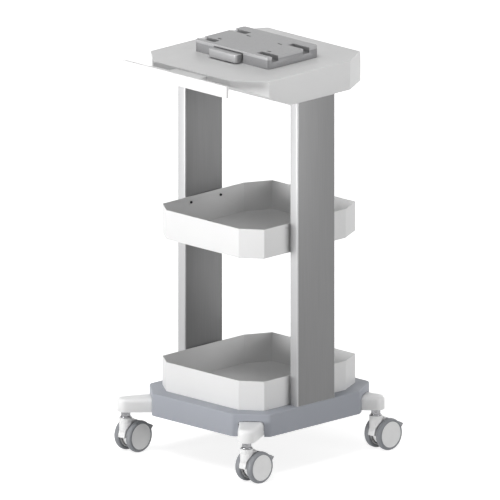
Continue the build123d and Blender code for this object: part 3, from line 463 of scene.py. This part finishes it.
for caster in CASTERS:
    for side in ("left", "right"):
        centre, outward, width = wheel_frame(caster, side)
        tyre = lathe(f"{caster}_tread_{side}", tyre_profile(outward, width), centre)
        settle(tyre, tyre_rubber, f"{caster}_wheel_{side}", TREAD_SHADING)
        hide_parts(f"{caster}_tyre_{side}")

# Wheel centres: pale grey mouldings with a plain dished cap outside and ribs inside.
# Polypropylene; the cap has a thin raised rim around a shallow dish.
HUB_DARK = (0.85, 0.85, 0.85)
HUB_LIGHT = (0.88, 0.88, 0.88)
HUB_RIM_WALL = 0.003
HUB_BOSS = 0.008
AXLE_HOLE = 0.00405
HUB_WEB = 0.0025
HUB_SHADING = 30.0
BOSS_FACE = 0.0003
RIM_CHAMFER = 0.0004
SEAT_GAP = 0.00005
CAP_PROUD = 0.0004
# The cap's raised rim and shallow dish: lower than the proud face, and in from the seat.
CAP_RIM = ((0.0001, 0.0006), (0.0, 0.0010), (0.0, 0.0019))
CAP_DISH = ((0.0004, 0.0024), (0.0006, 0.006), (0.0004, 0.014))
CAP_CENTRE_LOW = 0.0003
CAP_CENTRE = 0.004
RIB_COUNT = 8
RIB_THICKNESS = 0.0014
RIB_SINK = 0.0003
RIB_START = 0.003
RIB_SEAT = 0.0001

hub_plastic, n, l, s = surface("hub_polypropylene", HUB_LIGHT, 0.4)
l.new(shades(n, l, noise(n, l, 60), HUB_DARK, HUB_LIGHT), s.inputs["Base Color"])
l.new(spread(n, l, noise(n, l, 150), 0.32, 0.45), s.inputs["Roughness"])
relief(n, l, s, noise(n, l, 1400), 0.00004, 0.45)


def hub_profile(outward, width):
    """Boss, outer web with its rimmed cap, and the rim under the tyre."""
    cap = width + CAP_PROUD
    web = width - HUB_WEB
    rim = HUB_SEAT - HUB_RIM_WALL
    points = [
        (BOSS_FACE, AXLE_HOLE),
        (BOSS_FACE, HUB_BOSS),
        (web, HUB_BOSS),
        (web, rim),
        (RIM_CHAMFER, rim),
        (0.0, rim + RIM_CHAMFER),
        (0.0, HUB_SEAT - SEAT_GAP),
        (width - CAP_PROUD / 2, HUB_SEAT - SEAT_GAP),
    ]
    points += [(cap - low, HUB_SEAT - inward) for low, inward in CAP_RIM + CAP_DISH]
    points += [(cap - CAP_CENTRE_LOW, CAP_CENTRE), (cap - CAP_CENTRE_LOW, 0.0), (web, 0.0), (web, AXLE_HOLE)]
    return [(outward * along, radius) for along, radius in points]


def hub_rib_tree():
    """Node tree: thin ribs set evenly around an axle, each from the boss to the rim."""
    tree = bpy.data.node_groups.new("hub_ribs", "GeometryNodeTree")
    for name, kind, value in (
        ("Count", "NodeSocketInt", RIB_COUNT),
        ("Length", "NodeSocketFloat", 0.02),
        ("Depth", "NodeSocketFloat", 0.01),
        ("Thickness", "NodeSocketFloat", RIB_THICKNESS),
        ("Ring Radius", "NodeSocketFloat", 0.018),
        ("Centre", "NodeSocketVector", (0, 0, 0)),
        ("Finish", "NodeSocketMaterial", None),
    ):
        socket = tree.interface.new_socket(name, in_out="INPUT", socket_type=kind)
        if value is not None:
            socket.default_value = value
    tree.interface.new_socket("Geometry", in_out="OUTPUT", socket_type="NodeSocketGeometry")
    nodes, links = tree.nodes, tree.links
    given = nodes.new("NodeGroupInput").outputs
    ring = nodes.new("GeometryNodeMeshCircle")
    links.new(given["Count"], ring.inputs["Vertices"])
    links.new(given["Ring Radius"], ring.inputs["Radius"])
    size = nodes.new("ShaderNodeCombineXYZ")
    links.new(given["Length"], size.inputs["X"])
    links.new(given["Thickness"], size.inputs["Y"])
    links.new(given["Depth"], size.inputs["Z"])
    rib = nodes.new("GeometryNodeMeshCube")
    links.new(size.outputs[0], rib.inputs["Size"])
    place = nodes.new("GeometryNodeInputPosition")
    aim = nodes.new("FunctionNodeAlignEulerToVector")
    aim.axis = "X"
    aim.pivot_axis = "Z"
    links.new(place.outputs[0], aim.inputs["Vector"])
    spots = nodes.new("GeometryNodeInstanceOnPoints")
    links.new(ring.outputs["Mesh"], spots.inputs["Points"])
    links.new(rib.outputs["Mesh"], spots.inputs["Instance"])
    links.new(aim.outputs["Rotation"], spots.inputs["Rotation"])
    whole = nodes.new("GeometryNodeRealizeInstances")
    links.new(spots.outputs[0], whole.inputs[0])
    turn = nodes.new("GeometryNodeTransform")
    turn.inputs["Rotation"].default_value = (0, pi / 2, 0)
    links.new(whole.outputs[0], turn.inputs["Geometry"])
    links.new(given["Centre"], turn.inputs["Translation"])
    paint = nodes.new("GeometryNodeSetMaterial")
    links.new(turn.outputs[0], paint.inputs["Geometry"])
    links.new(given["Finish"], paint.inputs["Material"])
    out = nodes.new("NodeGroupOutput")
    links.new(paint.outputs[0], out.inputs[0])
    return tree


def grown(name, tree, **values):
    """Empty piece whose whole mesh comes from a node tree with the given inputs."""
    piece = bpy.data.objects.new(name, bpy.data.meshes.new(name))
    scene.collection.objects.link(piece)
    modifier = piece.modifiers.new(tree.name, "NODES")
    modifier.node_group = tree
    sockets = {item.name: item.identifier for item in tree.interface.items_tree if item.in_out == "INPUT"}
    for label, value in values.items():
        modifier[sockets[label.replace("_", " ")]] = value
    return piece


rib_tree = hub_rib_tree()
for caster in CASTERS:
    for side in ("left", "right"):
        centre, outward, width = wheel_frame(caster, side)
        body = f"{caster}_wheel_{side}"
        hub = lathe(f"{caster}_centre_{side}", hub_profile(outward, width), centre)
        settle(hub, hub_plastic, body, HUB_SHADING)
        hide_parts(f"{caster}_hub_{side}")
        inner, outer = HUB_BOSS - RIB_SINK, HUB_SEAT - HUB_RIM_WALL + RIB_SINK
        depth = width - HUB_WEB - RIB_START
        ribs = grown(
            f"{caster}_ribs_{side}", rib_tree, Count=RIB_COUNT, Length=outer - inner, Depth=depth,
            Ring_Radius=(inner + outer) / 2, Thickness=RIB_THICKNESS,
            Centre=(centre.x + outward * (RIB_START + depth / 2 + RIB_SEAT), centre.y, centre.z),
            Finish=hub_plastic,
        )
        settle(ribs, hub_plastic, body)

# Brake pedals: grey toe levers curved over the wheels, with grip ridges on the toe.
# Glass-filled nylon, matt, a little paler where shoes have rubbed it.
PEDAL_DARK = (0.345, 0.350, 0.365)
PEDAL_WORN = (0.385, 0.390, 0.405)
pedal_nylon, n, l, s = surface("pedal_nylon", PEDAL_DARK, 0.5)
l.new(shades(n, l, noise(n, l, 90, 4.0), PEDAL_DARK, PEDAL_WORN), s.inputs["Base Color"])
l.new(spread(n, l, noise(n, l, 200), 0.42, 0.65), s.inputs["Roughness"])
relief(n, l, s, noise(n, l, 1300), 0.00006, 0.6)
PEDAL_ROUND = 0.0363
PEDAL_SHEET = 0.0033
PEDAL_START = 0.0008
PEDAL_TIP = (0.0510, 0.0155)
PEDAL_CHIN = (0.0440, 0.0078)
PEDAL_ROOM = 0.0412
PEDAL_HINGE = (0.010, 0.0245)
ARM_HALF = 0.008
TOE_HALF = 0.015
LUG_HALF = 0.0034
LUG_ROUND = 0.0045
PIN_ROUND = 0.0019
PIN_HALF = 0.0066
LUG_RISE = 0.0008
RIDGE_COUNT = 3
RIDGE_ROUND = 0.0008
RIDGE_PITCH = 0.0036
RIDGE_MARGIN = 0.002
PEDAL_EDGE = 0.0005
ARC_STEPS = 16
TOE_ARC_STEPS = 10
LUG_ARC_STEPS = 12
LUG_ROOT_STEPS = 4
PIN_STEPS = 24
RIDGE_STEPS = 12


def around(radius, first, last, steps, centre=(0.0, 0.0)):
    """Points on a round line about the axle, or about another centre."""
    angles = [first + (last - first) * step / steps for step in range(steps + 1)]
    return [(centre[0] + radius * cos(a), centre[1] + radius * sin(a)) for a in angles]


def circle(radius, centre, steps):
    """Points all the way round, without the first again at the end."""
    return around(radius, 0, 2 * pi * (steps - 1) / steps, steps - 1, centre)


def pedal_shapes():
    """Side outlines of the pedal and half of each one's width, measured back and up from the axle."""
    far = sqrt(PEDAL_TIP[0] ** 2 + PEDAL_TIP[1] ** 2)
    turn = atan2(PEDAL_TIP[1], PEDAL_TIP[0]) + acos(PEDAL_ROUND / far)
    down = (sin(turn), -cos(turn))
    foot = (PEDAL_ROUND * cos(turn), PEDAL_ROUND * sin(turn))
    reach = sqrt(PEDAL_ROOM ** 2 - PEDAL_ROUND ** 2)
    meet = (foot[0] + reach * down[0], foot[1] + reach * down[1])
    start = acos(PEDAL_START / PEDAL_ROUND)
    inner = PEDAL_ROUND - PEDAL_SHEET
    under = (meet[0] - PEDAL_SHEET * cos(turn), meet[1] - PEDAL_SHEET * sin(turn))
    arm = around(PEDAL_ROUND, start, turn, ARC_STEPS) + [meet, under] + around(inner, turn, start, ARC_STEPS)
    top_angle = atan2(meet[1], meet[0])
    low_angle = atan2(PEDAL_CHIN[1], PEDAL_CHIN[0])
    toe = [PEDAL_TIP, PEDAL_CHIN] + around(PEDAL_ROOM, low_angle, top_angle, TOE_ARC_STEPS)
    lug = around(LUG_ROUND, pi, 2 * pi, LUG_ARC_STEPS, PEDAL_HINGE)
    lug_angles = [atan2(inner + LUG_RISE, side) for side in (lug[-1][0], lug[0][0])]
    lug += around(inner + LUG_RISE, lug_angles[0], lug_angles[1], LUG_ROOT_STEPS)
    shapes = [(arm, ARM_HALF), (toe, TOE_HALF), (lug, LUG_HALF)]
    shapes.append((circle(PIN_ROUND, PEDAL_HINGE, PIN_STEPS), PIN_HALF))
    for step in range(RIDGE_COUNT):
        back = (step + 1) * RIDGE_PITCH
        middle = (PEDAL_TIP[0] - back * down[0], PEDAL_TIP[1] - back * down[1])
        shapes.append((circle(RIDGE_ROUND, middle, RIDGE_STEPS), TOE_HALF - RIDGE_MARGIN))
    return shapes


def extruded(work, outline, half, centre):
    """Adds a side outline, drawn out to both sides of the caster's middle, to a mesh in work."""
    rings = [
        [work.verts.new((centre[0] + side * half, centre[1] + back, centre[2] + up)) for back, up in outline]
        for side in (-1, 1)
    ]
    work.faces.new(rings[0])
    work.faces.new(list(reversed(rings[1])))
    for step in range(len(outline)):
        after = (step + 1) % len(outline)
        work.faces.new((rings[0][step], rings[1][step], rings[1][after], rings[0][after]))


for caster in CASTERS:
    low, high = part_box(caster + "_axle")
    axle = ((low.x + high.x) / 2, (low.y + high.y) / 2, (low.z + high.z) / 2)
    work = bmesh.new()
    for outline, half in pedal_shapes():
        extruded(work, outline, half, axle)
    pedal = made(caster + "_pedal_finish", work, PEDAL_EDGE)
    settle(pedal, pedal_nylon, caster + "_pedal")
    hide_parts(caster + "_pedal")

# Columns: two hollow aluminium extrusions with rounded lips along both edges.
# Satin anodised, with the long fine lines of the die running up them.
COLUMN_DARK = (0.455, 0.455, 0.46)
COLUMN_LIGHT = (0.475, 0.475, 0.48)
COLUMN_EDGE = 0.0003
column_metal, n, l, s = surface("column_anodised", COLUMN_LIGHT, 0.38, 0.3)
l.new(shades(n, l, noise(n, l, 300, 2.0, (1, 1, 0.01)), COLUMN_DARK, COLUMN_LIGHT), s.inputs["Base Color"])
l.new(spread(n, l, noise(n, l, 500, 2.0, (1, 1, 0.02)), 0.34, 0.42), s.inputs["Roughness"])
relief(n, l, s, noise(n, l, 900, 2.0, (1, 1, 0.004)), 0.00001, 0.25)
for column in ("column_left", "column_right"):
    rounded(column, COLUMN_EDGE, column_metal, "cart", steps=2)

# Column inlays: grey strips laid in the shallow faces of both columns, inside and outside.
# Thin grey laminate with a fine vertical brushing, its edges just below the lips.
INLAY_DARK = (0.218, 0.218, 0.220)
INLAY_LIGHT = (0.232, 0.232, 0.234)
INLAY_HALF_WIDTH = 0.0578
INLAY_THICKNESS = 0.0004
INLAY_SINK = 0.0006
INLAY_END_GAP = 0.0005
INLAY_EDGE = 0.00015
inlay_grey, n, l, s = surface("column_inlay_grey", INLAY_LIGHT, 0.5, 0.15)
l.new(shades(n, l, noise(n, l, 400, 2.0, (1, 1, 0.02)), INLAY_DARK, INLAY_LIGHT), s.inputs["Base Color"])
l.new(spread(n, l, noise(n, l, 300, 2.0, (1, 1, 0.02)), 0.45, 0.55), s.inputs["Roughness"])
relief(n, l, s, noise(n, l, 1500, 2.0, (1, 1, 0.01)), 0.00001, 0.25)


def slab(name, low, high, edge):
    """Rectangular sheet between two corners with all its edges rounded."""
    work = bmesh.new()
    bmesh.ops.create_cube(work, size=1.0)
    span = Vector(high) - Vector(low)
    bmesh.ops.transform(work, matrix=Matrix.Diagonal((*span, 1)), verts=work.verts)
    bmesh.ops.translate(work, vec=(Vector(low) + Vector(high)) / 2, verts=work.verts)
    return made(name, work, edge)


for column in ("column_left", "column_right"):
    low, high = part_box(column)
    for face, x in (("low", low.x), ("high", high.x)):
        inward = 1 if face == "low" else -1
        seat = x + inward * INLAY_SINK
        xs = sorted((seat, seat - inward * INLAY_THICKNESS))
        foot = (xs[0], -INLAY_HALF_WIDTH, low.z + INLAY_END_GAP)
        head = (xs[1], INLAY_HALF_WIDTH, high.z - INLAY_END_GAP)
        inlay = slab(f"{column}_inlay_{face}", foot, head, INLAY_EDGE)
        settle(inlay, inlay_grey, "cart")

# Trays: two open boxes folded from steel sheet, eight-sided, the lower one on the base cover.
# White powder coat with an orange peel.
TRAY_DARK = (0.725, 0.725, 0.725)
TRAY_LIGHT = (0.745, 0.745, 0.745)
TRAY_EDGE = 0.0005
tray_coat, n, l, s = surface("tray_white_coat", TRAY_LIGHT, 0.4, shine=0.22)
l.new(shades(n, l, noise(n, l, 7), TRAY_DARK, TRAY_LIGHT), s.inputs["Base Color"])
l.new(spread(n, l, noise(n, l, 30), 0.34, 0.48), s.inputs["Roughness"])
relief(n, l, s, noise(n, l, 650, 2.0), 0.00006, 0.5)
for tray in ("lower_tray", "mid_tray"):
    rounded(tray, TRAY_EDGE, tray_coat, "cart", smooth=CRISP_SHADING)

# Middle tray fixings: dark button screws through the side walls, with black spacers behind.
# Blackened steel and plain nylon rings; the screws are slimmed to the size in the photograph.
SCREW_BLACK = (0.035, 0.035, 0.037)
SPACER_BLACK = (0.030, 0.030, 0.030)
SCREW_SLIM = 0.66
screw_black, n, l, s = surface("screw_blackened", SCREW_BLACK, 0.4, 0.7)
l.new(spread(n, l, noise(n, l, 500), 0.3, 0.5), s.inputs["Roughness"])
relief(n, l, s, noise(n, l, 2500), 0.00003, 0.4)
spacer_nylon, n, l, s = surface("spacer_nylon", SPACER_BLACK, 0.6)
l.new(spread(n, l, noise(n, l, 300), 0.5, 0.7), s.inputs["Roughness"])
relief(n, l, s, noise(n, l, 1500), 0.00004, 0.4)
dress(spacer_nylon, "mid_tray_spacers")
screw_mesh = joined_copy("mid_tray_screws", "mid_tray_screws_finish")
screws = bpy.data.objects.new("mid_tray_screws_finish", screw_mesh)
scene.collection.objects.link(screws)
low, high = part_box("mid_tray_screws")
screw_height = (low.z + high.z) / 2
screw_y = high.y - (high.z - low.z) / 2
for vertex in screws.data.vertices:
    middle_y = screw_y if vertex.co.y > 0 else -screw_y
    vertex.co.y = middle_y + (vertex.co.y - middle_y) * SCREW_SLIM
    vertex.co.z = screw_height + (vertex.co.z - screw_height) * SCREW_SLIM
settle(screws, screw_black, "cart")
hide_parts("mid_tray_screws")

# Worktop: an eight-sided white moulding whose underside rises to a thin front edge.
# Fine-grained plastic over a steel underside sheet, edges gently rounded.
TOP_DARK = (0.705, 0.705, 0.705)
TOP_LIGHT = (0.730, 0.730, 0.730)
TOP_EDGE = 0.0012
PAN_EDGE = 0.0005
top_plastic, n, l, s = surface("worktop_plastic", TOP_LIGHT, 0.42, shine=0.22)
l.new(shades(n, l, noise(n, l, 6), TOP_DARK, TOP_LIGHT), s.inputs["Base Color"])
l.new(spread(n, l, noise(n, l, 40), 0.38, 0.5), s.inputs["Roughness"])
relief(n, l, s, noise(n, l, 1500), 0.00005, 0.5)
rounded("worktop_cover", TOP_EDGE, top_plastic, "cart", smooth=CRISP_SHADING)
rounded("worktop_pan", PAN_EDGE, tray_coat, "cart")

# Push bar: a flat white bar across the front, screwed to a wide bent bracket.
# Both are steel in the same white powder coat as the trays.
BAR_EDGE = 0.0008
rounded("push_bar", BAR_EDGE, tray_coat, "cart", smooth=CRISP_SHADING)
rounded("push_bar_bracket", BAR_EDGE, tray_coat, "cart")

# Dock: a machined aluminium block and top plate that devices slide and lock onto.
# Bead-blasted and anodised, even, matt and slightly granular; the block is painted darker than the plate,
# which paints shade onto the dock's sides.
DOCK_PLATE_SHADES = ((0.325, 0.325, 0.33), (0.355, 0.355, 0.36))
DOCK_BODY_PAINTED_SHADES = ((0.205, 0.205, 0.21), (0.230, 0.230, 0.235))
DOCK_BODY_EDGE = 0.0004
DOCK_PLATE_EDGE = 0.0005


def blasted(name, dark, light):
    """Bead-blasted metal between two shades."""
    material, n, l, s = surface(name, light, 0.5, 0.4)
    l.new(shades(n, l, noise(n, l, 400), dark, light), s.inputs["Base Color"])
    l.new(spread(n, l, noise(n, l, 250), 0.46, 0.56), s.inputs["Roughness"])
    relief(n, l, s, noise(n, l, 3000), 0.00004, 0.6)
    return material


dock_metal = blasted("dock_plate_aluminium", *DOCK_PLATE_SHADES)
# The block's darker colour is painted shade for the dock's sides; its metal is the same as the plate's.
dock_block_painted_shade = blasted("dock_body_aluminium_painted_shade", *DOCK_BODY_PAINTED_SHADES)
dock_pieces = (("dock_body", DOCK_BODY_EDGE, dock_block_painted_shade), ("dock_plate", DOCK_PLATE_EDGE, dock_metal))
for node, edge, metal in dock_pieces:
    rounded(node, edge, metal, "cart", steps=2, smooth=CRISP_SHADING)

# Latch grip: a silver-painted moulding that is pulled forward to free the device.
# Rounded front corners and a soft upper edge for the fingers.
GRIP_DARK = (0.395, 0.395, 0.40)
GRIP_LIGHT = (0.425, 0.425, 0.43)
GRIP_EDGE = 0.0006
grip_paint, n, l, s = surface("latch_silver_paint", GRIP_LIGHT, 0.38, 0.5)
l.new(shades(n, l, noise(n, l, 500), GRIP_DARK, GRIP_LIGHT), s.inputs["Base Color"])
l.new(spread(n, l, noise(n, l, 200), 0.32, 0.45), s.inputs["Roughness"])
relief(n, l, s, noise(n, l, 2200), 0.00003, 0.5)
rounded("latch_grip", GRIP_EDGE, grip_paint, "latch")
